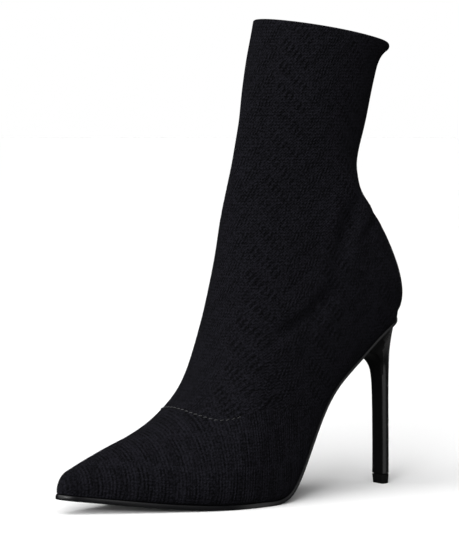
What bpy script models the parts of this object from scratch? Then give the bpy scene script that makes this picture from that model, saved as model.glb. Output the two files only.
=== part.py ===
"""Left knit sock boot on a stiletto heel: a hollow upper, an insole, an outsole, a heel and its top lift."""
import math

import bpy
import numpy as np

# All sizes are in millimetres. While it is being shaped, x runs from the back of the heel to the toe,
# y to the outer side of the left foot and z up from the ground. The frame's origin is set at the end.
WALL = 1.8                # thickness of the knit with its backing
GAP = 0.3                 # clearance between neighbouring pieces
INSOLE_THICK = 1.6
TREAD_THICK = 3.0         # outsole under the toe and the ball
WAIST_THICK = 2.0         # outsole under the arch and the heel seat
TREAD_END_X = 118.0       # the outsole starts to thin behind this
WAIST_START_X = 92.0      # and is at its waist thickness from here back
SOLE_EDGE = 0.5           # how far the outsole shows past the foot of the wall
NOSE = 7.0                # length over which the toe rounds off
SEAT = 24.0               # length over which the heel seat rounds off
CORNER_LOCALITY = 6.0     # how fast the sharp corner at the seat's back gives way to the smooth counter
COUNTER_LOCALITY = 4.0    # how fast the seat's outline gives way to the counter above it
COLLAR_ROLL = 6.4         # how far the back of the collar turns outwards
COLLAR_ROLL_DEPTH = 16.0   # height over which it turns
LIFT_HEIGHT = 5.5
LIFT_TAPER = 0.4          # the lift's foot is this much smaller all round
BACK_ARC_SHARE = 0.7      # share of a heel section's length that is rounded at the back
BREAST_CORNER = 0.08      # share of the section that its front corners take

UPPER_STATIONS_FOOT = 44
UPPER_STATIONS_SHAFT = 24
UPPER_SIDE_POINTS = 19    # points of a section from the foot of the wall to the front ridge
HEEL_ARC_POINTS = 9
HEEL_LEVELS_PER_ROW = 3
SHARP_DEGREES = 40.0

# Sections of the upper. Each is a plane from base (on the bottom, or up the back) to ridge (on the front).
# wall_in and wall_out are the half-widths at the foot of the wall, side_in and side_out those at the widest,
# which lies at the share `widest` of the way up. low and high are the roundness below and above it.
UPPER_COLUMNS = ("base_x", "base_z", "ridge_x", "ridge_z", "wall_in", "wall_out",
                 "side_in", "side_out", "widest", "low", "high", "middle")
UPPER_ROWS = (
    (236.0, 12.0, 236.0, 21.0, 4.5, 4.5, 5.0, 5.0, 0.40, 2.2, 2.20, -7.0),
    (224.0, 10.4, 223.5, 26.5, 8.5, 8.5, 9.5, 9.5, 0.36, 2.2, 2.00, -6.5),
    (206.0, 8.2, 204.0, 34.7, 15.5, 16.0, 18.0, 18.5, 0.32, 2.3, 1.90, -5.0),
    (186.0, 5.8, 182.0, 43.5, 24.0, 24.0, 27.5, 28.0, 0.30, 2.3, 1.85, -3.5),
    (165.0, 4.0, 160.5, 57.0, 30.5, 31.0, 35.0, 36.5, 0.28, 2.4, 1.80, -1.5),
    (145.0, 3.2, 147.5, 73.4, 33.0, 35.5, 37.5, 40.5, 0.26, 2.4, 1.80, 0.0),
    (124.0, 3.2, 140.0, 94.2, 29.0, 36.0, 35.5, 40.5, 0.26, 2.3, 1.90, 0.0),
    (104.0, 7.2, 134.2, 123.0, 22.5, 31.5, 32.0, 37.0, 0.27, 2.3, 1.90, 0.0),
    (86.0, 33.0, 130.3, 142.0, 18.5, 26.5, 29.5, 33.5, 0.28, 2.2, 2.00, 0.0),
    (66.0, 61.8, 127.6, 160.0, 18.0, 22.0, 29.0, 31.0, 0.29, 2.1, 2.00, 0.0),
    (42.0, 82.0, 124.7, 176.0, 19.5, 20.5, 28.5, 29.5, 0.30, 2.0, 2.00, 0.0),
    (25.0, 95.0, 122.4, 186.0, 21.0, 21.5, 28.5, 29.0, 0.31, 2.0, 2.00, 0.0),
    (10.2, 103.4, 120.1, 196.0, 21.0, 21.0, 28.5, 29.0, 0.32, 2.7, 2.00, 0.0),
    (6.4, 115.0, 118.0, 206.0, 0.0, 0.0, 28.5, 29.0, 0.33, 2.2, 2.00, 0.0),
    (9.0, 127.0, 115.9, 216.0, 0.0, 0.0, 28.0, 28.5, 0.36, 2.0, 2.00, 0.0),
    (17.6, 143.0, 114.2, 224.0, 0.0, 0.0, 28.0, 28.0, 0.40, 2.0, 2.00, 0.0),
    (33.1, 164.0, 112.3, 233.0, 0.0, 0.0, 27.5, 27.5, 0.44, 2.0, 2.00, 0.0),
    (39.4, 186.0, 110.5, 241.0, 0.0, 0.0, 27.5, 27.5, 0.46, 2.0, 2.00, 0.0),
    (35.2, 205.0, 108.8, 249.0, 0.0, 0.0, 28.0, 28.0, 0.48, 2.0, 2.00, 0.0),
    (28.9, 228.0, 106.8, 258.0, 0.0, 0.0, 28.5, 28.5, 0.50, 2.0, 2.00, 0.0),
    (20.0, 260.3, 103.3, 273.4, 0.0, 0.0, 29.0, 29.0, 0.50, 2.0, 2.00, 0.0),
)
CORNER_ROW = 12           # the row at the lower back corner of the heel, where the bottom opening ends

# Levels of the heel. Each is cut by a plane through its front and its back height.
HEEL_COLUMNS = ("front_z", "back_z", "front_x", "back_x", "half_width")
HEEL_ROWS = (
    (5.8, 5.8, 16.9, 9.3, 4.9),
    (22.0, 22.0, 16.9, 9.4, 4.9),
    (42.0, 43.0, 17.2, 9.6, 4.9),
    (58.0, 62.0, 17.7, 9.6, 5.0),
    (67.0, 76.0, 18.6, 9.3, 5.4),
    (72.0, 84.0, 20.2, 8.9, 6.6),
    (76.0, 91.5, 23.4, 8.8, 9.8),
    (79.0, 96.8, 30.0, 9.4, 14.8),
)
HEEL_CUP = {"front_x": 38.0, "back_x": 10.4, "half_width": 19.0}    # the heel's top, under the seat
HEEL_CUP_RIM = 1.6        # height of the cup's upright rim
HEEL_SEAT_GAP = 0.35      # clearance to the seat, measured upright on its slope


def spline(knots, values, at):
    """Natural cubic spline through the rows of values, one column at a time."""
    knots, values, at = (np.asarray(given, float) for given in (knots, values, at))
    last = len(knots) - 1
    step = np.diff(knots)
    system = np.zeros((last + 1, last + 1))
    right = np.zeros((last + 1, values.shape[1]))
    system[0, 0] = system[last, last] = 1.0
    for i in range(1, last):
        system[i, i - 1:i + 2] = step[i - 1], 2 * (step[i - 1] + step[i]), step[i]
        right[i] = 6 * ((values[i + 1] - values[i]) / step[i] - (values[i] - values[i - 1]) / step[i - 1])
    bend = np.linalg.solve(system, right)
    k = np.clip(np.searchsorted(knots, at, side="right") - 1, 0, last - 1)
    before = ((knots[k + 1] - at) / step[k])[:, None]
    after = 1 - before
    curved = (before ** 3 - before) * bend[k] + (after ** 3 - after) * bend[k + 1]
    return before * values[k] + after * values[k + 1] + curved * (step[k] ** 2)[:, None] / 6


def upper_knots():
    """Running distance of each section, its base and its ridge taken together."""
    rows = np.array(UPPER_ROWS)
    path = np.hypot(*np.diff(rows[:, 0:2], axis=0).T) + np.hypot(*np.diff(rows[:, 2:4], axis=0).T)
    return np.concatenate([[0.0], np.cumsum(path)])


def upper_sizes(at):
    """The columns of the section table at the running distances `at`."""
    knots = upper_knots()
    rows = np.array(UPPER_ROWS)
    sizes = dict(zip(UPPER_COLUMNS, spline(knots, rows, at).T))
    corner = CORNER_ROW + 1
    bottom = at <= knots[CORNER_ROW]
    # The bottom and the back are two curves that meet at the heel's corner.
    base = np.where(bottom[:, None], spline(knots[:corner], rows[:corner, :2], at),
                    spline(knots[CORNER_ROW:], rows[CORNER_ROW:, :2], at))
    # The rest of the section follows the smooth curve through the same rows.
    sizes["body_x"], sizes["body_z"] = sizes["base_x"], sizes["base_z"]
    sizes["base_x"], sizes["base_z"] = base.T
    tip = np.clip(1 - (UPPER_ROWS[0][0] - sizes["base_x"]) / NOSE, 0, 1)
    back = np.clip(1 - (sizes["base_x"] - UPPER_ROWS[CORNER_ROW][0]) / SEAT, 0, 1)
    sizes["nose"] = np.where(bottom, np.sqrt(1 - tip ** 2), 1.0)
    sizes["seat"] = np.where(bottom, np.sqrt(1 - back ** 2), 0.0)
    return sizes


def half_section(count, widest, low, high):
    """Height shares, width shares and which points lie below the widest, from the foot up to the ridge."""
    turn = np.linspace(0, 2, count)
    lower = turn <= 1
    angle = np.where(lower, turn, turn - 1) * np.pi / 2
    sine, cosine = np.sin(angle), np.abs(np.cos(angle))
    height = np.where(lower, widest * (1 - cosine ** (2 / low)), widest + (1 - widest) * sine ** (2 / high))
    width = np.where(lower, sine ** (2 / low), cosine ** (2 / high))
    return height, width, lower


def upper_surface(at):
    """Outer surface as (station, point, xyz). A section runs from the inner side over to the outer."""
    sizes = upper_sizes(at)
    surface = np.empty((len(at), 2 * UPPER_SIDE_POINTS - 1, 3))
    for i in range(len(at)):
        of = {name: column[i] for name, column in sizes.items()}
        body = np.array([of["body_x"], of["middle"], of["body_z"]])
        to_base = np.array([of["base_x"] - of["body_x"], 0.0, of["base_z"] - of["body_z"]])
        rise = np.array([of["ridge_x"] - of["body_x"], 0.0, of["ridge_z"] - of["body_z"]]) * of["nose"]
        height, width, lower = half_section(UPPER_SIDE_POINTS, of["widest"], of["low"], of["high"])
        halves = []
        for sign, wall, side in ((-1, "wall_in", "side_in"), (1, "wall_out", "side_out")):
            foot = of[wall] * of["nose"] * of["seat"]
            full = max(of[side] * of["nose"], foot)
            # Towards the heel's corner the foot of the wall sways only the lowest part of the section.
            sway = 1 + COUNTER_LOCALITY * (1 - of["seat"]) ** 2
            reach = full * width + np.where(lower, foot * (1 - width) ** sway, 0.0)
            half = body + height[:, None] * rise + (1 - height[:, None]) ** CORNER_LOCALITY * to_base
            half[:, 1] += sign * reach
            halves.append(half)
        surface[i] = np.concatenate([halves[0], halves[1][-2::-1]])
    return surface


def collar_roll(surface):
    """Turns the back of the collar outwards, as the knit's edge rolls there."""
    back, front = surface[-1, 0], surface[-1, UPPER_SIDE_POINTS - 1]
    length = np.linalg.norm(front - back)
    outwards = (back - front) / length
    down_the_back = np.array([-outwards[2], 0.0, outwards[0]])
    depth = (surface - back) @ down_the_back
    near_top = np.clip(1 - depth / COLLAR_ROLL_DEPTH, 0, 1) ** 2
    near_back = np.clip(2 * ((surface - front) @ outwards) / length - 1, 0, 1) ** 2
    return surface + (COLLAR_ROLL * near_top * near_back)[..., None] * outwards


def grid_normals(surface, closed_from):
    """Outward normals of the grid's points. Sections from `closed_from` on are closed loops."""
    along = np.gradient(surface, axis=0)
    around = np.gradient(surface, axis=1)
    wrap = surface[closed_from:, 1] - surface[closed_from:, -2]
    around[closed_from:, 0] = around[closed_from:, -1] = wrap
    normals = np.cross(around, along)
    normals /= np.maximum(np.linalg.norm(normals, axis=2, keepdims=True), 1e-9)
    # The wall keeps its full thickness at its foot, measured level.
    for column, outwards in ((0, -1), (-1, 1)):
        edge = np.gradient(surface[:closed_from, column], axis=0)
        side = outwards * np.cross(edge, (0.0, 0.0, 1.0))
        normals[:closed_from, column] = side / np.maximum(np.linalg.norm(side, axis=1, keepdims=True), 1e-9)
        normals[closed_from, column] = (-1.0, 0.0, 0.0)
    normals[0] = (1.0, 0.0, 0.0)
    return normals


def material(name, colour, roughness):
    look = bpy.data.materials.new(name)
    look.use_nodes = True
    shader = look.node_tree.nodes["Principled BSDF"]
    shader.inputs["Base Color"].default_value = (*colour, 1.0)
    shader.inputs["Roughness"].default_value = roughness
    return look


class Shell:
    """Collects points once each, so that neighbouring grids share them, and turns into one closed mesh."""

    def __init__(self):
        self.points = []
        self.index = {}
        self.faces = []

    def point(self, xyz):
        key = tuple(np.round(xyz, 4) + 0.0)
        if key not in self.index:
            self.index[key] = len(self.points)
            self.points.append(xyz)
        return self.index[key]

    def face(self, *corners):
        ids = []
        for corner in corners:
            found = self.point(corner)
            if found not in ids:
                ids.append(found)
        if len(ids) > 2:
            self.faces.append(ids)

    def strip(self, first, second, flip=False):
        """Faces between two rows of points of the same length."""
        for i in range(len(first) - 1):
            corners = (first[i], first[i + 1], second[i + 1], second[i])
            self.face(*(corners[::-1] if flip else corners))

    def object(self, name, look):
        mesh = bpy.data.meshes.new(name)
        mesh.from_pydata([tuple(point) for point in np.array(self.points) / 1000], [], self.faces)
        mesh.validate()
        obj = bpy.data.objects.new(name, mesh)
        bpy.context.scene.collection.objects.link(obj)
        mesh.materials.append(look)
        mesh.shade_smooth()
        mesh.set_sharp_from_angle(angle=math.radians(SHARP_DEGREES))
        return obj


def upper_stations():
    """Running distances of the upper's sections, first those over the bottom opening, then those above it."""
    knots = upper_knots()
    turn = np.linspace(0, np.pi, UPPER_STATIONS_FOOT)
    foot = knots[CORNER_ROW] * (0.5 - 0.5 * np.cos(turn))
    shaft = np.linspace(knots[CORNER_ROW], knots[-1], UPPER_STATIONS_SHAFT)[1:]
    return foot, shaft


def make_upper(look):
    foot, shaft = upper_stations()
    outer = collar_roll(upper_surface(np.concatenate([foot, shaft])))
    inner = outer - WALL * grid_normals(outer, len(foot) - 1)
    shell = Shell()
    for i in range(len(outer) - 1):
        shell.strip(outer[i], outer[i + 1])
        shell.strip(inner[i], inner[i + 1], flip=True)
    shell.strip(outer[-1], inner[-1])
    opening = slice(0, len(foot))
    shell.strip(outer[opening, 0], inner[opening, 0])
    shell.strip(outer[opening, -1], inner[opening, -1], flip=True)
    return shell.object("upper", look)


def bottom_curve(at):
    """The middle of the bottom at the running distances, and the direction square to it, downwards."""
    sizes = upper_sizes(at)
    base = np.stack([sizes["base_x"], sizes["middle"], sizes["base_z"]], axis=1)
    along = np.gradient(base, axis=0)
    down = np.stack([-along[:, 2], np.zeros(len(at)), along[:, 0]], axis=1)
    return sizes, base, down / np.linalg.norm(down, axis=1, keepdims=True)


def inset_outline(inner, outer, inset):
    """Both edges of the outline moved inwards in plan by `inset`. They share their first and last points."""
    count = len(inner)
    loop = np.concatenate([inner, outer[-2:0:-1]])
    edge = np.roll(loop, -1, axis=0) - np.roll(loop, 1, axis=0)
    normal = np.stack([-edge[:, 1], edge[:, 0]], axis=1)
    normal /= np.linalg.norm(normal, axis=1, keepdims=True)
    loop[:, :2] -= inset * normal
    return loop[:count], np.concatenate([loop[:1], loop[count:][::-1], loop[count - 1:count]])


def plate(name, look, inset, top, bottom):
    """A plate along the bottom curve. `top` and `bottom` are depths square to it, each given x."""
    foot, _ = upper_stations()
    sizes, base, down = bottom_curve(foot)
    edges = []
    for sign, wall in ((-1, "wall_in"), (1, "wall_out")):
        edge = base.copy()
        edge[:, 1] += sign * sizes[wall] * sizes["nose"] * sizes["seat"]
        edges.append(edge)
    edges = inset_outline(*edges, inset)
    above = [edge + down * top(base[:, 0])[:, None] for edge in edges]
    below = [edge + down * bottom(base[:, 0])[:, None] for edge in edges]
    for edge in below:
        edge[:, 2] = np.maximum(edge[:, 2], 0.0)
    shell = Shell()
    shell.strip(above[0], above[1], flip=True)
    shell.strip(below[0], below[1])
    shell.strip(above[0], below[0])
    shell.strip(above[1], below[1], flip=True)
    return shell.object(name, look)


def outsole_depth(x):
    """Depth of the outsole's underside below the bottom curve."""
    share = np.clip((x - WAIST_START_X) / (TREAD_END_X - WAIST_START_X), 0, 1)
    return GAP + WAIST_THICK + (TREAD_THICK - WAIST_THICK) * share


def make_outsole(look):
    return plate("outsole", look, -SOLE_EDGE, lambda x: np.full(len(x), GAP), outsole_depth)


def make_insole(look):
    return plate("insole", look, WALL + GAP,
                 lambda x: np.full(len(x), -INSOLE_THICK), lambda x: np.zeros(len(x)))


def seat_underside(x):
    """Height of the outsole's underside over the heel at x."""
    foot, _ = upper_stations()
    _, base, down = bottom_curve(foot)
    below = base + down * outsole_depth(base[:, 0])[:, None]
    return np.interp(x, below[::-1, 0], below[::-1, 2])


def heel_outline():
    """Shares of a heel section as (length from the back, half-width), from the back round the outer side."""
    arc = np.linspace(0, np.pi / 2, HEEL_ARC_POINTS)
    side = [(BACK_ARC_SHARE * (1 - math.cos(turn)), math.sin(turn)) for turn in arc]
    side += [((BACK_ARC_SHARE + 1 - BREAST_CORNER) / 2, 1.0), (1 - BREAST_CORNER, 1.0)]
    side += [(1 - BREAST_CORNER / 4, 1 - BREAST_CORNER / 4), (1.0, 1 - BREAST_CORNER), (1.0, 0.5)]
    return np.array(side + [(1.0, 0.0)] + [(length, -width) for length, width in side[:0:-1]])


def heel_level(front_z, back_z, front_x, back_x, half_width):
    """One section of the heel, on the plane through its front and its back height."""
    length, width = heel_outline().T
    return np.stack([back_x + (front_x - back_x) * length, half_width * width,
                     back_z + (front_z - back_z) * length], axis=1)


def stack(name, look, levels):
    """A solid through closed levels from the bottom up, capped across its width."""
    shell = Shell()
    for lower, upper in zip(levels[:-1], levels[1:]):
        shell.strip(np.vstack([lower, lower[:1]]), np.vstack([upper, upper[:1]]), flip=True)
    half = len(levels[0]) // 2
    for level, flip in ((levels[0], False), (levels[-1], True)):
        outer, inner = level[:half + 1], np.vstack([level[:1], level[:half - 1:-1]])
        shell.strip(outer, inner, flip)
    return shell.object(name, look)


def make_heel(look):
    rows = np.array(HEEL_ROWS)
    knots = np.arange(len(rows), dtype=float)
    at = np.linspace(0, len(rows) - 1, (len(rows) - 1) * HEEL_LEVELS_PER_ROW + 1)
    levels = [heel_level(**dict(zip(HEEL_COLUMNS, sizes))) for sizes in spline(knots, rows, at)]
    cup = heel_level(0.0, 0.0, **HEEL_CUP)
    for depth in (HEEL_CUP_RIM, 0.0):
        rim = cup.copy()
        rim[:, 2] = seat_underside(rim[:, 0]) - HEEL_SEAT_GAP - depth
        levels.append(rim)
    return stack("heel", look, levels)


def make_top_lift(look):
    _, _, front_x, back_x, half_width = HEEL_ROWS[0]
    head = heel_level(LIFT_HEIGHT, LIFT_HEIGHT, front_x, back_x, half_width)
    foot = heel_level(0.0, 0.0, front_x - LIFT_TAPER, back_x + LIFT_TAPER, half_width - LIFT_TAPER)
    return stack("top_lift", look, [foot, head])


def centre_on_ground(objects):
    """Puts the origin on the ground under the middle of the whole boot."""
    corners = np.array([vertex.co for obj in objects for vertex in obj.data.vertices])
    low, high = corners.min(axis=0), corners.max(axis=0)
    shift = np.array([-(low[0] + high[0]) / 2, -(low[1] + high[1]) / 2, 0.0])
    for obj in objects:
        for vertex in obj.data.vertices:
            vertex.co = np.array(vertex.co) + shift


def main():
    for obj in list(bpy.data.objects):
        bpy.data.objects.remove(obj)
    objects = [
        make_upper(material("black_knit", (0.012, 0.012, 0.016), 0.9)),
        make_insole(material("black_lining", (0.02, 0.02, 0.02), 0.7)),
        make_outsole(material("black_sole", (0.015, 0.015, 0.016), 0.35)),
        make_heel(material("black_gloss", (0.01, 0.01, 0.011), 0.15)),
        make_top_lift(material("black_rubber", (0.02, 0.02, 0.02), 0.6)),
    ]
    centre_on_ground(objects)


main()
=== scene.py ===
"""Looks of a left knit sock boot on a stiletto heel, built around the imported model."""
import math

import bpy
import numpy as np
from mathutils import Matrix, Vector


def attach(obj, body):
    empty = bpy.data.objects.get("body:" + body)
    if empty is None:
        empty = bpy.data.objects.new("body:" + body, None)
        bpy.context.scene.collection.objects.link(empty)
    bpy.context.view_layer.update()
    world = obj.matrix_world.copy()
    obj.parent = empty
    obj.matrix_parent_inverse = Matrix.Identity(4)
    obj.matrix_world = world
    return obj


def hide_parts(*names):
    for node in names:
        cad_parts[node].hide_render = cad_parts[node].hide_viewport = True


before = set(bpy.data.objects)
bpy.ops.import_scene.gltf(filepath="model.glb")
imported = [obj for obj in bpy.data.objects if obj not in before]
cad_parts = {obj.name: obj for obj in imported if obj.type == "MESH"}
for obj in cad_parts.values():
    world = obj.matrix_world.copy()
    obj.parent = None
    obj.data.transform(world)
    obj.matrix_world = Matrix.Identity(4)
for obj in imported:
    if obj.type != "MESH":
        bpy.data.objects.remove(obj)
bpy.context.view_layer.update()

# Shapes are worked out in millimetres, as in the part: x from the back of the heel to the toe, y to the
# outer side of the left foot, z up from the ground. SHIFT takes them to the frame's origin.
SHIFT = np.array([-121.69, -1.74, 0.0])
MM = 0.001
WALL = 1.8                # thickness of the knit with its backing
GAP = 0.3                 # clearance between neighbouring pieces
INSOLE_THICK = 1.6
TREAD_THICK = 3.0         # outsole under the toe and the ball
WAIST_THICK = 2.0         # outsole under the arch and the heel seat
TREAD_END_X = 118.0       # the outsole starts to thin behind this
WAIST_START_X = 92.0      # and is at its waist thickness from here back
SOLE_EDGE = 0.5           # how far the outsole shows past the foot of the wall
NOSE = 7.0                # length over which the toe rounds off
SEAT = 24.0               # length over which the heel seat rounds off
CORNER_LOCALITY = 6.0     # how fast the sharp corner at the seat's back gives way to the smooth counter
COUNTER_LOCALITY = 4.0    # how fast the seat's outline gives way to the counter above it
COLLAR_ROLL = 6.4         # how far the back of the collar turns outwards
COLLAR_SAG = 3.4          # and how far its tip hangs down
COLLAR_ROLL_DEPTH = 16.0  # height over which it turns
LIFT_HEIGHT = 5.5
LIFT_TAPER = 0.4          # the lift's foot is this much smaller all round
BACK_ARC_SHARE = 0.7      # share of a heel section's length that is rounded at the back
BREAST_CORNER = 0.08      # share of the section that its front corners take
BREAST_START_X = 13.2     # where the look of the heel's breast would start on its middle line
BREAST_SLANT = 0.73       # and how much further forward it starts per millimetre of width

STATIONS_FOOT = 150       # sections over the bottom opening
STATIONS_SHAFT = 95       # and above it
SIDE_POINTS = 84          # points of a section from the foot of the wall to the front ridge
PLATE_STATIONS = 140
HEEL_ARC_POINTS = 20
HEEL_LEVELS_PER_ROW = 8
CORNER_POINTS = 6
RIM_POINTS = 7
SHARP_DEGREES = 50.0
TINY = 1e-9               # keeps a division from failing where a length is nil

# The upper's sections, each a plane from base to ridge, as in the part.
UPPER_COLUMNS = ("base_x", "base_z", "ridge_x", "ridge_z", "wall_in", "wall_out",
                 "side_in", "side_out", "widest", "low", "high", "middle")
UPPER_ROWS = (
    (236.0, 12.0, 236.0, 21.0, 4.5, 4.5, 5.0, 5.0, 0.40, 2.2, 2.20, -7.0),
    (224.0, 10.4, 223.5, 26.5, 8.5, 8.5, 9.5, 9.5, 0.36, 2.2, 2.00, -6.5),
    (206.0, 8.2, 204.0, 34.7, 15.5, 16.0, 18.0, 18.5, 0.32, 2.3, 1.90, -5.0),
    (186.0, 5.8, 182.0, 43.5, 24.0, 24.0, 27.5, 28.0, 0.30, 2.3, 1.85, -3.5),
    (165.0, 4.0, 160.5, 57.0, 30.5, 31.0, 35.0, 36.5, 0.28, 2.4, 1.80, -1.5),
    (145.0, 3.2, 147.5, 73.4, 33.0, 35.5, 37.5, 40.5, 0.26, 2.4, 1.80, 0.0),
    (124.0, 3.2, 140.0, 94.2, 29.0, 36.0, 35.5, 40.5, 0.26, 2.3, 1.90, 0.0),
    (104.0, 7.2, 134.2, 123.0, 22.5, 31.5, 32.0, 37.0, 0.27, 2.3, 1.90, 0.0),
    (86.0, 33.0, 130.3, 142.0, 18.5, 26.5, 29.5, 33.5, 0.28, 2.2, 2.00, 0.0),
    (66.0, 61.8, 127.6, 160.0, 18.0, 22.0, 29.0, 31.0, 0.29, 2.1, 2.00, 0.0),
    (42.0, 82.0, 124.7, 176.0, 19.5, 20.5, 28.5, 29.5, 0.30, 2.0, 2.00, 0.0),
    (25.0, 95.0, 122.4, 186.0, 21.0, 21.5, 28.5, 29.0, 0.31, 2.0, 2.00, 0.0),
    (10.2, 103.4, 120.1, 196.0, 21.0, 21.0, 28.5, 29.0, 0.32, 2.7, 2.00, 0.0),
    (6.4, 115.0, 118.0, 206.0, 0.0, 0.0, 28.5, 29.0, 0.33, 2.2, 2.00, 0.0),
    (9.0, 127.0, 115.9, 216.0, 0.0, 0.0, 28.0, 28.5, 0.36, 2.0, 2.00, 0.0),
    (17.6, 143.0, 114.2, 224.0, 0.0, 0.0, 28.0, 28.0, 0.40, 2.0, 2.00, 0.0),
    (33.1, 164.0, 112.3, 233.0, 0.0, 0.0, 27.5, 27.5, 0.44, 2.0, 2.00, 0.0),
    (39.4, 186.0, 110.5, 241.0, 0.0, 0.0, 27.5, 27.5, 0.46, 2.0, 2.00, 0.0),
    (35.2, 205.0, 108.8, 249.0, 0.0, 0.0, 28.0, 28.0, 0.48, 2.0, 2.00, 0.0),
    (28.9, 228.0, 106.8, 258.0, 0.0, 0.0, 28.5, 28.5, 0.50, 2.0, 2.00, 0.0),
    (20.0, 260.3, 103.3, 273.4, 0.0, 0.0, 29.0, 29.0, 0.50, 2.0, 2.00, 0.0),
)
CORNER_ROW = 12

# The heel's levels, each a plane through its front and its back height, as in the part.
HEEL_COLUMNS = ("front_z", "back_z", "front_x", "back_x", "half_width")
HEEL_ROWS = (
    (5.8, 5.8, 16.9, 9.3, 4.9),
    (22.0, 22.0, 16.9, 9.4, 4.9),
    (42.0, 43.0, 17.2, 9.6, 4.9),
    (58.0, 62.0, 17.7, 9.6, 5.0),
    (67.0, 76.0, 18.6, 9.3, 5.4),
    (72.0, 84.0, 20.2, 8.9, 6.6),
    (76.0, 91.5, 23.4, 8.8, 9.8),
    (79.0, 96.8, 30.0, 9.4, 14.8),
)
HEEL_CUP = {"front_x": 38.0, "back_x": 10.4, "half_width": 19.0}
HEEL_SEAT_GAP = 0.35

# Rounded edges from the bottom up, as (inset, height). The heights of the heel's cup and of the lift's
# head count from their top face, so they are below 0.
HEEL_FOOT_EDGE = ((0.35, 0.0), (0.1, 0.1), (0.0, 0.35))
HEEL_CUP_EDGE = ((0.0, -1.6), (0.0, -0.3), (0.1, -0.08), (0.3, 0.0))
LIFT_FOOT_EDGE = ((0.3, 0.0), (0.08, 0.1), (0.0, 0.35))
LIFT_HEAD_EDGE = ((0.0, -0.3), (0.08, -0.08), (0.3, 0.0))
# The edges of the plates from the top down, as (inset, share of the thickness). The outsole's shares
# count from its top, and the insole's from its underside.
OUTSOLE_EDGE = ((0.5, 0.0), (0.12, 0.08), (0.0, 0.25), (-0.05, 0.5), (0.0, 0.75), (0.15, 0.92), (0.6, 1.0))
INSOLE_EDGE = ((1.6, 1.0), (0.6, 0.94), (0.12, 0.75), (0.0, 0.4), (0.0, 0.0))

# Soft troughs of the knit between low ridges. Side is 1 for the outer side and -1 for the inner. Width is
# the distance from a trough's middle to where it has risen by about two thirds. Points are (x, z).
CREASE_COLUMNS = ("side", "depth", "width", "points")
CREASES = (
    (1, 2.6, 4.6, ((50, 176), (56, 165), (61, 157), (64, 148), (67, 139), (73, 129))),
    (1, 2.3, 4.4, ((66, 126), (74, 118), (80, 113), (90, 105), (99, 101), (109, 97), (119, 95))),
    (1, 1.2, 3.0, ((40, 161), (43, 155), (48, 150), (53, 144))),
    (1, 1.0, 3.0, ((84, 104), (89, 97), (92, 93), (97, 88))),
    (-1, 1.5, 4.4, ((48, 174), (55, 163), (60, 154), (66, 142), (75, 131))),
    (-1, 1.2, 4.0, ((64, 127), (73, 118), (84, 111), (96, 106), (110, 104))),
    (-1, 0.7, 3.0, ((41, 158), (45, 151), (52, 144))),
)
RIDGE_SHARE = 0.4         # height of the ridges beside a trough, as a share of its depth
RIDGE_PLACE = 1.9         # and their distance from its middle, in widths
CREASE_END = 0.03         # share of a trough's length at each end where it stays at its shallowest
CREASE_TAPER = 0.6        # how slowly it gets shallower towards its ends
CREASE_REACH = 14.0       # distance from the middle of the boot over which it comes in
SLACK_BROAD = 0.16        # height of the broad waves of the slack knit
SLACK_FINE = 0.05         # and of the fine ones
TOE_FADE = 8.0            # stations over which creases and slack come in from the tip of the toe
FOOT_FADE = 6.0           # and points over which they come in from the foot of the wall

# The stitched row across the vamp and on along both sides: its height over the ground at each x.
SEAM_X = (60.0, 105.0, 133.7, 140.8, 146.9, 152.2, 156.1, 159.3, 161.6, 162.8)
SEAM_Z = (52.0, 53.0, 54.6, 52.1, 50.5, 49.9, 51.1, 52.7, 54.2, 55.4)
SEAM_END_X = 138.0        # the visible stitches stop here on both sides
STITCH_LENGTH = 2.3
STITCH_STEP = 3.3
STITCH_RADIUS = 0.24
STITCH_SLANT = 0.35       # how far each end of a stitch lies off the row
STITCH_ARCH = 0.55        # height of its middle over its ends
STITCH_SINK = 0.3         # depth of its ends in the knit
STITCH_POINTS = 6
STITCH_SIDES = 6

# The camera stands where the photograph's did, and frames the whole boot.
CAMERA = (1012.25, 1241.84, 233.0)
CAMERA_AIM = (124.85, 0.0, 133.4)
LENS = 181.54
ROOM_LIGHT = 0.10         # the room's light away from the key
KEY_LIGHT = 4.9           # the light at the middle of the key
KEY_DIRECTION = (0.75, 0.3, 0.59)
KEY_EDGE = 0.55           # the cosine to the key's middle at its soft edge
# Softboxes in metres and watts. The first lights the edge of the toe, and the second stands where the
# heel's side mirrors it.
SOFTBOX_COLUMNS = ("place", "target", "width", "height", "watts")
SOFTBOXES = (
    ((1.15, 1.05, 0.55), (0.11, 0.0, 0.01), 0.35, 0.2, 9.0),
    ((-0.98, 1.20, 0.20), (-0.10, 0.0, 0.05), 0.9, 2.0, 8.2),
)

# The dark and the pale tone that each material varies between.
TONES = {
    "knit": ((0.0006, 0.0006, 0.0009), (0.0063, 0.0061, 0.0085)),
    "thread": ((0.0020, 0.0020, 0.0026), (0.0056, 0.0056, 0.0064)),
    "lining": ((0.006, 0.006, 0.007), (0.016, 0.016, 0.018)),
    "insole": ((0.008, 0.0078, 0.0075), (0.02, 0.019, 0.018)),
    "sole": ((0.0015, 0.0015, 0.002), (0.005, 0.005, 0.0055)),
    "gloss": ((0.0006, 0.0006, 0.0007), (0.0018, 0.0018, 0.0020)),
    "breast": ((0.0012, 0.0012, 0.0012), (0.0036, 0.0036, 0.0036)),
    "lift": ((0.001, 0.001, 0.001), (0.004, 0.004, 0.004)),
}
FLOOR_TONE = (0.86, 0.86, 0.86)

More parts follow.
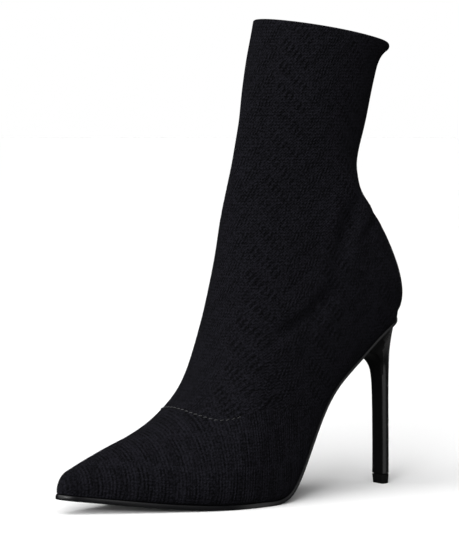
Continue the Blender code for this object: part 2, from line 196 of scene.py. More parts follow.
# Sizes of the knit's pattern, in millimetres.
HERRINGBONE_COLUMN = 19.0     # width of a column
HERRINGBONE_STEP = 13.0       # from bar to bar up a column
HERRINGBONE_GAP = 1.3         # plain strip on each side of the line between two columns
BAR_SIDE_SOFT = 0.6           # how softly a bar comes up along its sides
BAR_END_SOFT = 0.7            # and at its ends
YARN_TWIST = 2.3
TWIST_SLANT = -0.35           # how far the twist leans back against its bar
STITCH_WIDE = 1.7
STITCH_HIGH = 1.8
STITCH_LEAN = 1.2             # rise of a small stitch per millimetre from its middle
RIB_STEP = 2.2
RIB_BLOCK = 12.0              # length of a block of ribs along the toe
RIB_BLOCK_HIGH = 22.0
RIB_BLOCK_GAP = 2.0           # from the line between two blocks to where the ribs are at half height
RIB_ROW_GAP = 1.6             # and from the line between two rows of blocks
RIB_SOFT = 1.0
PATTERN_SWAY = 5.0            # how far the pattern wanders with the stretch of the knit
SEAM_SOFT = 0.5               # how softly one pattern turns into the other at the stitched row
LINING_WEAVE = 0.9


def spline(knots, values, at):
    """Natural cubic spline through the rows of values, one column at a time."""
    knots, values, at = (np.asarray(given, float) for given in (knots, values, at))
    last = len(knots) - 1
    step = np.diff(knots)
    system = np.zeros((last + 1, last + 1))
    right = np.zeros((last + 1, values.shape[1]))
    system[0, 0] = system[last, last] = 1.0
    for i in range(1, last):
        system[i, i - 1:i + 2] = step[i - 1], 2 * (step[i - 1] + step[i]), step[i]
        right[i] = 6 * ((values[i + 1] - values[i]) / step[i] - (values[i] - values[i - 1]) / step[i - 1])
    bend = np.linalg.solve(system, right)
    k = np.clip(np.searchsorted(knots, at, side="right") - 1, 0, last - 1)
    before = ((knots[k + 1] - at) / step[k])[:, None]
    after = 1 - before
    curved = (before ** 3 - before) * bend[k] + (after ** 3 - after) * bend[k + 1]
    return before * values[k] + after * values[k + 1] + curved * (step[k] ** 2)[:, None] / 6


def unit(vectors):
    """The vectors brought to a length of 1."""
    return vectors / np.maximum(np.linalg.norm(vectors, axis=-1, keepdims=True), TINY)


def upper_knots():
    """Running distance of each section, its base and its ridge taken together."""
    rows = np.array(UPPER_ROWS)
    path = np.hypot(*np.diff(rows[:, 0:2], axis=0).T) + np.hypot(*np.diff(rows[:, 2:4], axis=0).T)
    return np.concatenate([[0.0], np.cumsum(path)])


def upper_sizes(at):
    """The columns of the section table at the running distances `at`."""
    knots = upper_knots()
    rows = np.array(UPPER_ROWS)
    sizes = dict(zip(UPPER_COLUMNS, spline(knots, rows, at).T))
    corner = CORNER_ROW + 1
    bottom = at <= knots[CORNER_ROW]
    base = np.where(bottom[:, None], spline(knots[:corner], rows[:corner, :2], at),
                    spline(knots[CORNER_ROW:], rows[CORNER_ROW:, :2], at))
    sizes["body_x"], sizes["body_z"] = sizes["base_x"], sizes["base_z"]
    sizes["base_x"], sizes["base_z"] = base.T
    tip = np.clip(1 - (UPPER_ROWS[0][0] - sizes["base_x"]) / NOSE, 0, 1)
    back = np.clip(1 - (sizes["base_x"] - UPPER_ROWS[CORNER_ROW][0]) / SEAT, 0, 1)
    sizes["nose"] = np.where(bottom, np.sqrt(1 - tip ** 2), 1.0)
    sizes["seat"] = np.where(bottom, np.sqrt(1 - back ** 2), 0.0)
    return sizes


def half_section(count, widest, low, high):
    """Height shares, width shares and which points lie below the widest, from the foot up to the ridge."""
    turn = np.linspace(0, 2, count)
    lower = turn <= 1
    angle = np.where(lower, turn, turn - 1) * np.pi / 2
    sine, cosine = np.sin(angle), np.abs(np.cos(angle))
    height = np.where(lower, widest * (1 - cosine ** (2 / low)), widest + (1 - widest) * sine ** (2 / high))
    width = np.where(lower, sine ** (2 / low), cosine ** (2 / high))
    return height, width, lower


def upper_surface(at):
    """Outer surface as (station, point, xyz). A section runs from the inner side over to the outer."""
    sizes = upper_sizes(at)
    surface = np.empty((len(at), 2 * SIDE_POINTS - 1, 3))
    for i in range(len(at)):
        of = {name: column[i] for name, column in sizes.items()}
        body = np.array([of["body_x"], of["middle"], of["body_z"]])
        to_base = np.array([of["base_x"] - of["body_x"], 0.0, of["base_z"] - of["body_z"]])
        rise = np.array([of["ridge_x"] - of["body_x"], 0.0, of["ridge_z"] - of["body_z"]]) * of["nose"]
        height, width, lower = half_section(SIDE_POINTS, of["widest"], of["low"], of["high"])
        halves = []
        for sign, wall, side in ((-1, "wall_in", "side_in"), (1, "wall_out", "side_out")):
            foot = of[wall] * of["nose"] * of["seat"]
            full = max(of[side] * of["nose"], foot)
            sway = 1 + COUNTER_LOCALITY * (1 - of["seat"]) ** 2
            reach = full * width + np.where(lower, foot * (1 - width) ** sway, 0.0)
            half = body + height[:, None] * rise + (1 - height[:, None]) ** CORNER_LOCALITY * to_base
            half[:, 1] += sign * reach
            halves.append(half)
        surface[i] = np.concatenate([halves[0], halves[1][-2::-1]])
    return surface


def collar_roll(surface):
    """Turns the back of the collar outwards, as the knit's edge rolls there."""
    back, front = surface[-1, 0], surface[-1, SIDE_POINTS - 1]
    length = np.linalg.norm(front - back)
    outwards = (back - front) / length
    down_the_back = np.array([-outwards[2], 0.0, outwards[0]])
    depth = (surface - back) @ down_the_back
    near_top = np.clip(1 - depth / COLLAR_ROLL_DEPTH, 0, 1) ** 2
    near_back = np.clip(2 * ((surface - front) @ outwards) / length - 1, 0, 1) ** 2
    rolled = COLLAR_ROLL * near_top * near_back
    sagged = COLLAR_SAG * np.sqrt(near_top) * near_back ** 6
    return surface + rolled[..., None] * outwards + sagged[..., None] * down_the_back


def grid_normals(surface, closed_from):
    """Outward normals of the grid's points. Sections from `closed_from` on are closed loops."""
    along = np.gradient(surface, axis=0)
    around = np.gradient(surface, axis=1)
    wrap = surface[closed_from:, 1] - surface[closed_from:, -2]
    around[closed_from:, 0] = around[closed_from:, -1] = wrap
    normals = unit(np.cross(around, along))
    for column, outwards in ((0, -1), (-1, 1)):
        edge = np.gradient(surface[:closed_from, column], axis=0)
        normals[:closed_from, column] = unit(outwards * np.cross(edge, (0.0, 0.0, 1.0)))
        normals[closed_from, column] = (-1.0, 0.0, 0.0)
    normals[0] = (1.0, 0.0, 0.0)
    return normals


def smooth_line(points, per_span=8):
    """Points of a smooth line through the given ones."""
    points = np.array(points, float)
    at = np.linspace(0, len(points) - 1, (len(points) - 1) * per_span + 1)
    return spline(np.arange(len(points)), points, at)


def crease_depths(surface):
    """How far each point of the upper sinks in or stands out, in millimetres, positive outwards."""
    total = np.zeros(surface.shape[:2])
    for row in CREASES:
        crease = dict(zip(CREASE_COLUMNS, row))
        line = smooth_line(crease["points"])
        offsets = surface[:, :, None, ::2] - line
        distances = np.linalg.norm(offsets, axis=3)
        nearest = distances.argmin(axis=2) / (len(line) - 1)
        away = distances.min(axis=2) / crease["width"]
        strength = np.sin(np.pi * np.clip(nearest, CREASE_END, 1 - CREASE_END)) ** CREASE_TAPER
        beside = np.exp(-(away - RIDGE_PLACE) ** 2)
        shape = RIDGE_SHARE * beside - np.exp(-away ** 2)
        on_side = np.clip(crease["side"] * surface[:, :, 1] / CREASE_REACH, 0, 1)
        total += crease["depth"] * shape * strength * on_side
    return total


def slack(surface):
    """The slight unevenness of knit cloth over a last, in millimetres: waves that cross and don't repeat."""
    x, y, z = np.moveaxis(surface, 2, 0)
    broad = np.sin(x / 11 + 1.3 * np.sin(z / 17)) * np.sin(z / 13 + y / 9)
    fine = np.sin(x / 5.1 + y / 6.3 + 2.0) * np.sin(z / 5.7 - y / 7.9)
    return SLACK_BROAD * broad + SLACK_FINE * fine


class Shell:
    """Collects grids of points and makes one mesh of them. Points in the same place become one. The names
    given are its cloth maps, and each grid then brings the values of each map at its points."""

    def __init__(self, *map_names):
        self.points = []
        self.faces = []
        self.looks = []
        self.maps = {name: [] for name in map_names}

    def grid(self, rows, *maps, flip=False, look=0):
        """Faces between neighbouring rows of points, all of the same length."""
        rows = np.asarray(rows, float)
        start = len(self.points)
        self.points.extend(rows.reshape(-1, 3))
        for name, values in zip(self.maps, maps):
            self.maps[name].extend(np.asarray(values, float).reshape(-1, 2))
        count = rows.shape[1]
        for i in range(len(rows) - 1):
            first = start + i * count
            for j in range(first, first + count - 1):
                corners = (j, j + 1, j + count + 1, j + count)
                self.faces.append(corners[::-1] if flip else corners)
                self.looks.append(look)

    def piece(self, name, looks, node):
        """The finished piece in the frame, which stands for the CAD node `node`."""
        points = np.array(self.points)
        keys, index = np.unique(np.round(points, 3), axis=0, return_inverse=True)
        merged = np.zeros((len(keys), 3))
        merged[index.reshape(-1)] = points
        merged_id = index.reshape(-1).tolist()
        faces, corners, chosen = [], [], []
        for face, look in zip(self.faces, self.looks):
            by_place = {merged_id[corner]: corner for corner in face}
            if len(by_place) > 2:
                faces.append(list(by_place))
                corners.extend(by_place.values())
                chosen.append(look)
        mesh = bpy.data.meshes.new(name)
        mesh.from_pydata((merged + SHIFT) * MM, [], faces)
        for map_name, values in self.maps.items():
            layer = mesh.uv_layers.new(name=map_name)
            layer.data.foreach_set("uv", (np.array(values)[corners] * MM).reshape(-1))
        for look in looks:
            mesh.materials.append(look)
        mesh.polygons.foreach_set("material_index", chosen)
        mesh.shade_smooth()
        mesh.set_sharp_from_angle(angle=math.radians(SHARP_DEGREES))
        obj = bpy.data.objects.new(name, mesh)
        bpy.context.scene.collection.objects.link(obj)
        if node:
            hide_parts(node)
        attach(obj, "root")
        return obj


class Look:
    """A material made with short calls. Inputs are numbers, colours or the outputs of other nodes."""

    def __init__(self, name, **settings):
        self.material = bpy.data.materials.new(name)
        self.material.use_nodes = True
        self.tree = self.material.node_tree
        self.shader = self.tree.nodes["Principled BSDF"]
        for socket, value in settings.items():
            self.feed(self.shader.inputs[socket.replace("_", " ")], value)

    def feed(self, socket, value):
        if isinstance(value, bpy.types.NodeSocket):
            self.tree.links.new(value, socket)
        elif socket.type == "RGBA":
            socket.default_value = (*value, 1.0)
        else:
            socket.default_value = value

    def node(self, kind, inputs, output=0, **settings):
        made = self.tree.nodes.new("ShaderNode" + kind)
        for name, value in settings.items():
            setattr(made, name, value)
        for key, value in inputs.items():
            self.feed(made.inputs[key], value)
        return made.outputs[output]

    def math(self, operation, *values):
        return self.node("Math", dict(enumerate(values)), operation=operation)

    def scaled(self, value, times, plus=0.0):
        return self.math("MULTIPLY_ADD", value, times, plus)

    def smooth_step(self, value, low, high):
        """From 0 at `low` to 1 at `high`."""
        ends = {0: value, 1: low, 2: high, 3: 0.0, 4: 1.0}
        return self.node("MapRange", ends, interpolation_type="SMOOTHSTEP")

    def soft_edge(self, value, place, soft):
        return self.smooth_step(value, place - soft, place + soft)

    def wave(self, value, period):
        """0 to 1 and back over each period."""
        turned = self.math("MULTIPLY", value, 2 * math.pi / period)
        return self.scaled(self.math("COSINE", turned), times=-0.5, plus=0.5)

    def blend(self, share, low, high):
        return self.node("Mix", {0: share, 2: low, 3: high}, data_type="FLOAT")

    def noise(self, where, scale, detail=2.0):
        return self.node("TexNoise", {"Vector": where, "Scale": scale, "Detail": detail})

    def object_place(self):
        return self.node("TexCoord", {}, output=3)

    def cloth_place(self, name):
        """The two running distances of the named map, in millimetres."""
        place = self.node("UVMap", {}, uv_map=name)
        return [self.math("DIVIDE", self.node("SeparateXYZ", {0: place}, output=axis), MM) for axis in (0, 1)]

    def tone(self, share, dark, pale):
        """Sets the base colour between a dark and a pale one."""
        mixed = self.node("Mix", {0: share, 6: dark, 7: pale}, output=2, data_type="RGBA")
        self.feed(self.shader.inputs["Base Color"], mixed)

    def roughness(self, share, least, spread):
        self.feed(self.shader.inputs["Roughness"], self.scaled(share, times=spread, plus=least))

    def bump(self, height, distance, strength):
        normal = self.node("Bump", {"Height": height, "Distance": distance, "Strength": strength})
        self.feed(self.shader.inputs["Normal"], normal)


def herringbone(look, around, up):
    """Broken bars that lean one way and the other from column to column, and the twist of their yarn."""
    side = look.math("ABSOLUTE", around)
    column = look.math("FLOOR", look.math("DIVIDE", side, HERRINGBONE_COLUMN))
    turn = look.scaled(look.math("MODULO", column, 2.0), times=2.0, plus=-1.0)
    inside = look.math("MODULO", side, HERRINGBONE_COLUMN)
    slope = look.math("MULTIPLY_ADD", inside, turn, up)
    swing = look.math("PINGPONG", slope, HERRINGBONE_STEP / 2)
    bars = look.soft_edge(swing, HERRINGBONE_STEP / 4, BAR_SIDE_SOFT)
    edge = look.math("PINGPONG", side, HERRINGBONE_COLUMN / 2)
    bars = look.math("MULTIPLY", bars, look.soft_edge(edge, HERRINGBONE_GAP, BAR_END_SOFT))
    twist = look.wave(look.math("MULTIPLY_ADD", slope, TWIST_SLANT, inside), YARN_TWIST)
    return bars, twist


def rib_blocks(look, length, girth):
    """Short upright ribs in blocks that are laid like bricks."""
    row = look.math("FLOOR", look.math("DIVIDE", girth, RIB_BLOCK_HIGH))
    place = look.math("MULTIPLY_ADD", look.math("MODULO", row, 2.0), RIB_BLOCK / 2, length)
    block = look.soft_edge(look.math("PINGPONG", place, RIB_BLOCK / 2), RIB_BLOCK_GAP, RIB_SOFT)
    rows = look.soft_edge(look.math("PINGPONG", girth, RIB_BLOCK_HIGH / 2), RIB_ROW_GAP, RIB_SOFT)
    return look.math("MULTIPLY", look.wave(place, RIB_STEP), look.math("MULTIPLY", block, rows))


def small_stitches(look, leg, toe_map, toe):
    """Slanting stitches round the leg, and upright ones along the toe."""
    around, up = leg
    length, girth = toe_map
    wale = look.math("PINGPONG", around, STITCH_WIDE / 2)
    across = look.scaled(look.wave(around, STITCH_WIDE), times=0.6, plus=0.4)
    slanting = look.wave(look.math("MULTIPLY_ADD", wale, STITCH_LEAN, up), STITCH_HIGH)
    slanting = look.math("MULTIPLY", slanting, across)
    upright = look.scaled(look.wave(girth, STITCH_HIGH), times=0.5, plus=0.5)
    upright = look.math("MULTIPLY", look.wave(length, STITCH_WIDE), upright)
    return look.blend(toe, slanting, upright)


def knit_look():
    """Fine knit: a herringbone above the stitched row, blocks of ribs below it, small stitches all over."""
    look = Look("black_knit", Roughness=0.95, Specular_IOR_Level=0.05,
                Sheen_Weight=0.004, Sheen_Roughness=0.45, Sheen_Tint=(0.75, 0.75, 1.0))
    place = look.object_place()
    around, up = look.cloth_place("leg")
    length, girth = look.cloth_place("toe")
    below = look.node("Attribute", {}, output=2, attribute_name="below_seam")
    toe = look.soft_edge(below, 0.0, SEAM_SOFT)

    sway = look.scaled(look.noise(place, scale=28.0), times=PATTERN_SWAY)
    bars, twist = herringbone(look, look.math("ADD", around, sway), look.math("ADD", up, sway))
    ribs = rib_blocks(look, look.math("ADD", length, sway), girth)
    stitch = small_stitches(look, (around, up), (length, girth), toe)
    fibre_speck_and_glint = look.smooth_step(look.noise(place, scale=900.0), 0.36, 0.64)
    patch = look.smooth_step(look.noise(place, scale=70.0, detail=3.0), 0.3, 0.7)
    crisp = look.smooth_step(look.noise(place, scale=45.0), 0.30, 0.62)

    # The relief stands up along the bars and the ribs.
    raised = look.blend(toe, look.math("MULTIPLY", bars, look.scaled(twist, times=0.9, plus=0.4)), ribs)
    fine = look.math("ADD", look.scaled(stitch, times=0.9), look.scaled(fibre_speck_and_glint, times=0.6))
    look.bump(look.math("MULTIPLY_ADD", raised, 0.55, fine), distance=0.0005, strength=0.9)

    # The colour is darker where they stand highest, more in some places than in others.
    bar_shade = look.math("MULTIPLY", bars, look.scaled(twist, times=0.60, plus=-0.18))
    sunk = look.blend(toe, bar_shade, look.scaled(ribs, times=0.40, plus=-0.08))
    sunk = look.math("MULTIPLY", sunk, look.scaled(crisp, times=0.55, plus=0.55))
    # The fine specks are painted paler all over: painted highlights for the glints of single fibres. The
    # patches are the knit's own uneven tone.
    light = look.math("MULTIPLY_ADD", fibre_speck_and_glint, 0.60, look.scaled(patch, times=0.12))
    light = look.math("MULTIPLY_ADD", stitch, 0.42, light)
    look.tone(look.math("SUBTRACT", light, sunk), *TONES["knit"])
    return look.material


def thread_look():
    look = Look("black_thread", Roughness=0.6, Specular_IOR_Level=0.4, Sheen_Weight=0.2)
    look.tone(look.noise(look.object_place(), scale=2500.0), *TONES["thread"])
    return look.material


def lining_look():
    look = Look("black_lining", Roughness=0.85, Specular_IOR_Level=0.2)
    around, up = look.cloth_place("leg")
    weave = look.math("MULTIPLY", look.wave(around, LINING_WEAVE), look.wave(up, LINING_WEAVE))
    look.tone(look.noise(look.object_place(), scale=80.0, detail=4.0), *TONES["lining"])
    look.bump(weave, distance=0.0002, strength=0.6)
    return look.material


def insole_look():
    look = Look("black_insole", Roughness=0.55, Specular_IOR_Level=0.35)
    place = look.object_place()
    grain = look.node("TexVoronoi", {"Vector": place, "Scale": 900.0})
    look.tone(look.noise(place, scale=120.0, detail=4.0), *TONES["insole"])
    look.bump(grain, distance=0.0002, strength=0.5)
    return look.material


def sole_look():
    look = Look("black_sole", Specular_IOR_Level=0.2)
    place = look.object_place()
    scuffs = look.noise(place, scale=45.0, detail=5.0)
    look.tone(scuffs, *TONES["sole"])
    look.roughness(scuffs, least=0.2, spread=0.2)
    look.bump(look.noise(place, scale=1400.0), distance=0.00008, strength=0.5)
    return look.material


def gloss_look():
    look = Look("black_gloss", Specular_IOR_Level=0.2, Coat_Weight=0.05, Coat_Roughness=0.05)
    place = look.object_place()
    waves = look.noise(place, scale=35.0)
    look.tone(waves, *TONES["gloss"])
    look.roughness(look.noise(place, scale=220.0, detail=6.0), least=0.2, spread=0.14)
    look.bump(waves, distance=0.0003, strength=0.07)
    return look.material


def breast_look():
    """The heel's flat front, less glossy than its sides."""
    look = Look("black_breast", Roughness=0.5, Specular_IOR_Level=0.05)
    streaks = look.noise(look.object_place(), scale=400.0, detail=4.0)
    look.tone(streaks, *TONES["breast"])
    look.bump(streaks, distance=0.0001, strength=0.4)
    return look.material


def lift_look():
    look = Look("black_rubber", Roughness=0.6, Specular_IOR_Level=0.05)
    place = look.object_place()
    look.tone(look.noise(place, scale=150.0, detail=4.0), *TONES["lift"])
    look.bump(look.noise(place, scale=1800.0, detail=3.0), distance=0.0001, strength=0.6)
    return look.material


def foot_stations(count):
    """Running distances over the bottom opening, closer together at the toe and at the back."""
    turn = np.linspace(0, np.pi, count)
    return upper_knots()[CORNER_ROW] * (0.5 - 0.5 * np.cos(turn))


def upper_stations():
    """Running distances of the upper's sections, first those over the bottom opening, then those above it."""
    knots = upper_knots()
    shaft = np.linspace(knots[CORNER_ROW], knots[-1], STATIONS_SHAFT)[1:]
    return foot_stations(STATIONS_FOOT), shaft


def running(steps, start):
    """Running sums of the steps between neighbouring points, 0 at the point `start`."""
    total = np.concatenate([np.zeros((len(steps), 1)), np.cumsum(steps, axis=1)], axis=1)
    return total - total[:, start:start + 1]


def cloth_maps(surface):
    """Two maps: round the leg and up from the ground, and along the foot and up from the sole."""
    ridge = SIDE_POINTS - 1
    steps = np.diff(surface, axis=1)
    around = running(np.hypot(steps[..., 0], steps[..., 1]), ridge)
    leg = np.stack([around, surface[..., 2]], axis=2)
    girth = running(np.linalg.norm(steps, axis=2), 0)
    girth = np.where(np.arange(girth.shape[1]) <= ridge, girth, girth[:, -1:] - girth)
    toe = np.stack([surface[..., 0], girth], axis=2)
    return leg, toe


def seam_height(x):
    """Height of the stitched row over the ground at x."""
    return np.interp(x, SEAM_X, SEAM_Z)


def upper_grids():
    """The outer and the inner surface of the upper, and the plain last surface with its normals."""
    foot, shaft = upper_stations()
    last = collar_roll(upper_surface(np.concatenate([foot, shaft])))
    normals = grid_normals(last, len(foot) - 1)
    moved = crease_depths(last) + slack(last)
    stations, points = np.arange(len(last)), np.arange(last.shape[1])
    fade = np.clip(stations / TOE_FADE, 0, 1)[:, None] * np.ones(len(points))
    fade[:len(foot) + 2] *= np.clip(np.minimum(points, points[::-1]) / FOOT_FADE, 0, 1)
    moved = (moved * fade)[..., None] * normals
    return last + moved, last - WALL * normals + moved, normals, len(foot)


def make_upper(looks):
    """The hollow knit upper. It hands back its outer surface and the normals, for the stitches."""
    outer, inner, normals, foot = upper_grids()
    leg, toe = cloth_maps(outer)
    shell = Shell("leg", "toe")
    shell.grid(outer, leg, toe)
    shell.grid(inner, leg, toe, flip=True, look=1)
    # The collar's edge is rounded over.
    up = WALL / 2 * unit(outer[-1] - outer[-2])
    middle, reach = (outer[-1] + inner[-1]) / 2, (outer[-1] - inner[-1]) / 2
    turns = np.linspace(0, np.pi, RIM_POINTS)
    rim = [middle + math.cos(turn) * reach + math.sin(turn) * up for turn in turns]
    shell.grid(rim, *(np.repeat(values[-1:], RIM_POINTS, axis=0) for values in (leg, toe)))
    for column, flip in ((0, False), (-1, True)):
        edges = [[values[:foot, column]] * 2 for values in (leg, toe)]
        shell.grid([outer[:foot, column], inner[:foot, column]], *edges, flip=flip)
    obj = shell.piece("knit_upper", looks, "upper")
    place = np.array([vertex.co for vertex in obj.data.vertices]) / MM - SHIFT
    below = obj.data.attributes.new("below_seam", "FLOAT", "POINT")
    below.data.foreach_set("value", seam_height(place[:, 0]) - place[:, 2])
    return outer, normals


def seam_line(outer, normals):
    """Points of the stitched row and the normals there, from the inner side over the ridge to the outer."""
    below = seam_height(outer[..., 0]) - outer[..., 2]
    line = []
    for column in range(outer.shape[1]):
        for i in np.flatnonzero((below[:-1, column] > 0) & (below[1:, column] <= 0)):
            share = below[i, column] / (below[i, column] - below[i + 1, column])
            point = (1 - share) * outer[i, column] + share * outer[i + 1, column]
            if point[0] > SEAM_END_X:
                line.append([point, normals[i, column]])
    return np.moveaxis(np.array(line), 1, 0)


def make_stitches(outer, normals, look):
    """The threads of the row over the vamp, each sunk in the knit at both ends."""
    line, outwards = seam_line(outer, normals)
    gone = np.concatenate([[0.0], np.cumsum(np.linalg.norm(np.diff(line, axis=0), axis=1))])
    shell = Shell()
    turns = np.linspace(0, 2 * np.pi, STITCH_SIDES + 1)
    arch = STITCH_ARCH * np.sin(np.linspace(0, np.pi, STITCH_POINTS))[:, None] - STITCH_SINK
    slant = np.linspace(-STITCH_SLANT, STITCH_SLANT, STITCH_POINTS)[:, None]
    for start in np.arange(STITCH_STEP / 2, gone[-1] - STITCH_LENGTH, STITCH_STEP):
        at = start + np.linspace(0, STITCH_LENGTH, STITCH_POINTS)
        path = np.stack([np.interp(at, gone, line[:, axis]) for axis in range(3)], axis=1)
        out = np.stack([np.interp(at, gone, outwards[:, axis]) for axis in range(3)], axis=1)
        path += out * arch
        across = np.cross(out, unit(path[-1] - path[0]))
        path += across * slant
        spokes = [math.cos(turn) * out + math.sin(turn) * across for turn in turns]
        shell.grid([path + STITCH_RADIUS * spoke for spoke in spokes])
    obj = shell.piece("vamp_stitches", [look], None)


def bottom_curve():
    """Sizes of the sections over the bottom, its middle line, and the direction square to it, downwards."""
    sizes = upper_sizes(foot_stations(PLATE_STATIONS))
    base = np.stack([sizes["base_x"], sizes["middle"], sizes["base_z"]], axis=1)
    along = np.gradient(base, axis=0)
    down = np.stack([-along[:, 2], np.zeros(len(base)), along[:, 0]], axis=1)
    return sizes, base, unit(down)


def inset_outline(inner, outer, inset):
    """Both edges of the outline moved inwards in plan by `inset`. They share their first and last points."""
    count = len(inner)
    loop = np.concatenate([inner, outer[-2:0:-1]])
    edge = np.roll(loop, -1, axis=0) - np.roll(loop, 1, axis=0)
    loop[:, :2] -= inset * unit(np.stack([-edge[:, 1], edge[:, 0]], axis=1))
    return loop[:count], np.concatenate([loop[:1], loop[count:][::-1], loop[count - 1:count]])


def plate(name, look, node, layers):
    """A plate along the bottom curve. Each layer, from the top down, is an inset and a depth at each x."""
    sizes, base, down = bottom_curve()
    outline = []
    for sign, wall in ((-1, "wall_in"), (1, "wall_out")):
        edge = base.copy()
        edge[:, 1] += sign * sizes[wall] * sizes["nose"] * sizes["seat"]
        outline.append(edge)
    levels = []
    for inset, depth in layers:
        edges = [edge + down * depth(base[:, 0])[:, None] for edge in inset_outline(*outline, inset)]
        for edge in edges:
            edge[:, 2] = np.maximum(edge[:, 2], 0.0)
        levels.append(edges)
    shell = Shell()
    shell.grid([inner for inner, _ in levels])
    shell.grid([outer for _, outer in levels], flip=True)
    shell.grid(levels[0], flip=True)
    shell.grid(levels[-1])
    return shell.piece(name, [look], node)


def outsole_depth(x):
    """Depth of the outsole's underside below the bottom curve."""
    share = np.clip((x - WAIST_START_X) / (TREAD_END_X - WAIST_START_X), 0, 1)
    return GAP + WAIST_THICK + (TREAD_THICK - WAIST_THICK) * share


def make_outsole(look):
    """The outsole with its edge rounded over."""
    layers = [(inset - SOLE_EDGE, lambda x, share=share: GAP + share * (outsole_depth(x) - GAP))
              for inset, share in OUTSOLE_EDGE]
    obj = plate("sole_plate", look, "outsole", layers)


def make_insole(look):
    """The insole with a soft upper edge."""
    layers = [(WALL + GAP + inset, lambda x, share=share: np.full(len(x), -share * INSOLE_THICK))
              for inset, share in INSOLE_EDGE]
    obj = plate("insole_cover", look, "insole", layers)


def seat_underside(x):
    """Height of the outsole's underside over the heel at x."""
    _, base, down = bottom_curve()
    below = base + down * outsole_depth(base[:, 0])[:, None]
    return np.interp(x, below[::-1, 0], below[::-1, 2])


def heel_outline():
    """Shares of a heel section as (length from the back, half-width), from the back round the outer side."""
    arc = np.linspace(0, np.pi / 2, HEEL_ARC_POINTS)
    side = [(BACK_ARC_SHARE * (1 - math.cos(turn)), math.sin(turn)) for turn in arc]
    side += [((BACK_ARC_SHARE + 1 - BREAST_CORNER) / 2, 1.0)]
    for turn in np.linspace(0, np.pi / 2, CORNER_POINTS):
        side.append((1 - BREAST_CORNER * (1 - math.sin(turn)), 1 - BREAST_CORNER * (1 - math.cos(turn))))
    # The flat breast lies at the full length.
    side += [(1.0, 0.6), (1.0, 0.3)]
    return np.array(side + [(1.0, 0.0)] + [(length, -width) for length, width in side[:0:-1]])


def heel_level(front_z, back_z, front_x, back_x, half_width):
    """One section of the heel, on the plane through its front and its back height."""
    length, width = heel_outline().T
    return np.stack([back_x + (front_x - back_x) * length, half_width * width,
                     back_z + (front_z - back_z) * length], axis=1)


def shrunk(level, inset):
    """A level with its outline moved in towards its middle by `inset`."""
    return level - inset * unit(level - level.mean(axis=0))


def rounded(level, edge):
    """Levels that round over the edge at `level`."""
    return [shrunk(level, inset) + (0.0, 0.0, height) for inset, height in edge]


def stack(name, looks, node, levels):
    """A solid through closed levels from the bottom up, capped across its width."""
    shell = Shell()
    loops = [np.vstack([level, level[:1]]) for level in levels]
    shell.grid(loops, flip=True)
    half = len(levels[0]) // 2
    for level, flip in ((levels[0], False), (levels[-1], True)):
        shell.grid([level[:half + 1], np.vstack([level[:1], level[:half - 1:-1]])], flip=flip)
    return shell.piece(name, looks, node)


def make_heel(looks):
    """The heel from its foot up to the cup under the seat. Its flat front has a look of its own."""
    rows = np.array(HEEL_ROWS)
    knots = np.arange(len(rows), dtype=float)
    at = np.linspace(0, len(rows) - 1, (len(rows) - 1) * HEEL_LEVELS_PER_ROW + 1)
    levels = [heel_level(**dict(zip(HEEL_COLUMNS, sizes))) for sizes in spline(knots, rows, at)]
    levels[:1] = rounded(levels[0], HEEL_FOOT_EDGE)
    cup = heel_level(0.0, 0.0, **HEEL_CUP)
    for inset, height in HEEL_CUP_EDGE:
        rim = shrunk(cup, inset)
        rim[:, 2] = seat_underside(rim[:, 0]) - HEEL_SEAT_GAP + height
        levels.append(rim)
    obj = stack("heel_cover", looks, "heel", levels)
    for polygon in obj.data.polygons:
        x, y, _ = np.array(polygon.center) / MM - SHIFT
        if x - BREAST_SLANT * abs(y) > BREAST_START_X:
            polygon.material_index = 1


def make_top_lift(look):
    """The small wear piece under the heel, a little smaller at the ground."""
    _, _, front_x, back_x, half_width = HEEL_ROWS[0]
    head = heel_level(LIFT_HEIGHT, LIFT_HEIGHT, front_x, back_x, half_width)
    foot = heel_level(0.0, 0.0, front_x - LIFT_TAPER, back_x + LIFT_TAPER, half_width - LIFT_TAPER)
    levels = rounded(foot, LIFT_FOOT_EDGE) + rounded(head, LIFT_HEAD_EDGE)
    obj = stack("lift_cover", [look], "top_lift", levels)


def floor_look():
    look = Look("pale_floor", Base_Color=FLOOR_TONE, Roughness=0.9, Specular_IOR_Level=0.1)
    return look.material


def make_floor():
    bpy.ops.mesh.primitive_circle_add(vertices=96, radius=12.0, fill_type="NGON")
    floor = bpy.context.object
    floor.name = "floor"
    floor.data.materials.append(floor_look())
    # The floor throws no light back, so the boot stays as dark below as it is above.
    floor.visible_diffuse = False
    floor.visible_glossy = False


def aim(obj, target):
    obj.rotation_euler = (Vector(target) - obj.location).to_track_quat("-Z", "Y").to_euler()


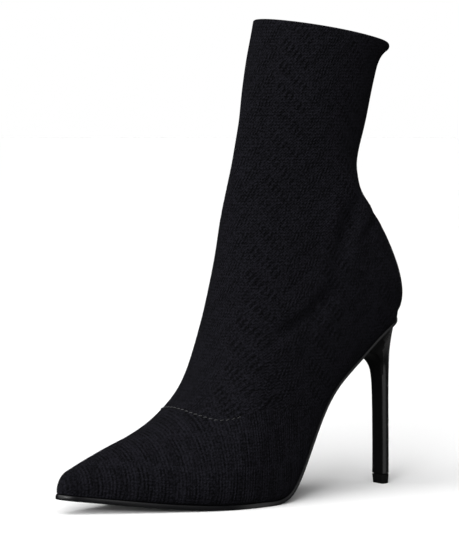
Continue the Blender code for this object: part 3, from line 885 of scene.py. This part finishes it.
def make_light():
    """A room, white to the camera, whose light comes mostly from high up over the toe."""
    world = bpy.data.worlds.new("studio")
    world.use_nodes = True
    tree = world.node_tree
    background = tree.nodes["Background"]
    place = tree.nodes.new("ShaderNodeTexCoord")
    facing = tree.nodes.new("ShaderNodeVectorMath")
    facing.operation = "DOT_PRODUCT"
    facing.inputs[1].default_value = Vector(KEY_DIRECTION).normalized()
    tree.links.new(place.outputs["Generated"], facing.inputs[0])
    glow = tree.nodes.new("ShaderNodeMapRange")
    glow.interpolation_type = "SMOOTHSTEP"
    ends = {"From Min": KEY_EDGE, "From Max": 1.0, "To Min": ROOM_LIGHT, "To Max": KEY_LIGHT}
    for name, value in ends.items():
        glow.inputs[name].default_value = value
    tree.links.new(facing.outputs["Value"], glow.inputs["Value"])
    seen = tree.nodes.new("ShaderNodeLightPath")
    strength = tree.nodes.new("ShaderNodeMix")
    strength.inputs["B"].default_value = 1.0
    tree.links.new(seen.outputs["Is Camera Ray"], strength.inputs["Factor"])
    tree.links.new(glow.outputs["Result"], strength.inputs["A"])
    tree.links.new(strength.outputs["Result"], background.inputs["Strength"])
    background.inputs["Color"].default_value = (1.0, 1.0, 1.0, 1.0)
    bpy.context.scene.world = world


def make_softboxes():
    """Soft lamps beside the room's own light. The camera doesn't see them."""
    for number, row in enumerate(SOFTBOXES, start=1):
        box = dict(zip(SOFTBOX_COLUMNS, row))
        light = bpy.data.lights.new("softbox_%d" % number, "AREA")
        light.shape = "RECTANGLE"
        light.size = box["width"]
        light.size_y = box["height"]
        light.energy = box["watts"]
        obj = bpy.data.objects.new(light.name, light)
        obj.location = box["place"]
        obj.visible_camera = False
        bpy.context.scene.collection.objects.link(obj)
        aim(obj, box["target"])


def make_camera():
    data = bpy.data.cameras.new("camera")
    data.sensor_width = 36.0
    data.lens = LENS
    camera = bpy.data.objects.new("camera", data)
    camera.location = (np.array(CAMERA) + SHIFT) * MM
    bpy.context.scene.collection.objects.link(camera)
    aim(camera, (np.array(CAMERA_AIM) + SHIFT) * MM)
    bpy.context.scene.camera = camera


make_camera()
make_floor()
make_light()
make_softboxes()
bpy.context.scene.view_settings.view_transform = "Standard"
knit = knit_look()
outer, normals = make_upper([knit, lining_look()])
make_stitches(outer, normals, thread_look())
make_insole(insole_look())
make_outsole(sole_look())
make_heel([gloss_look(), breast_look()])
make_top_lift(lift_look())
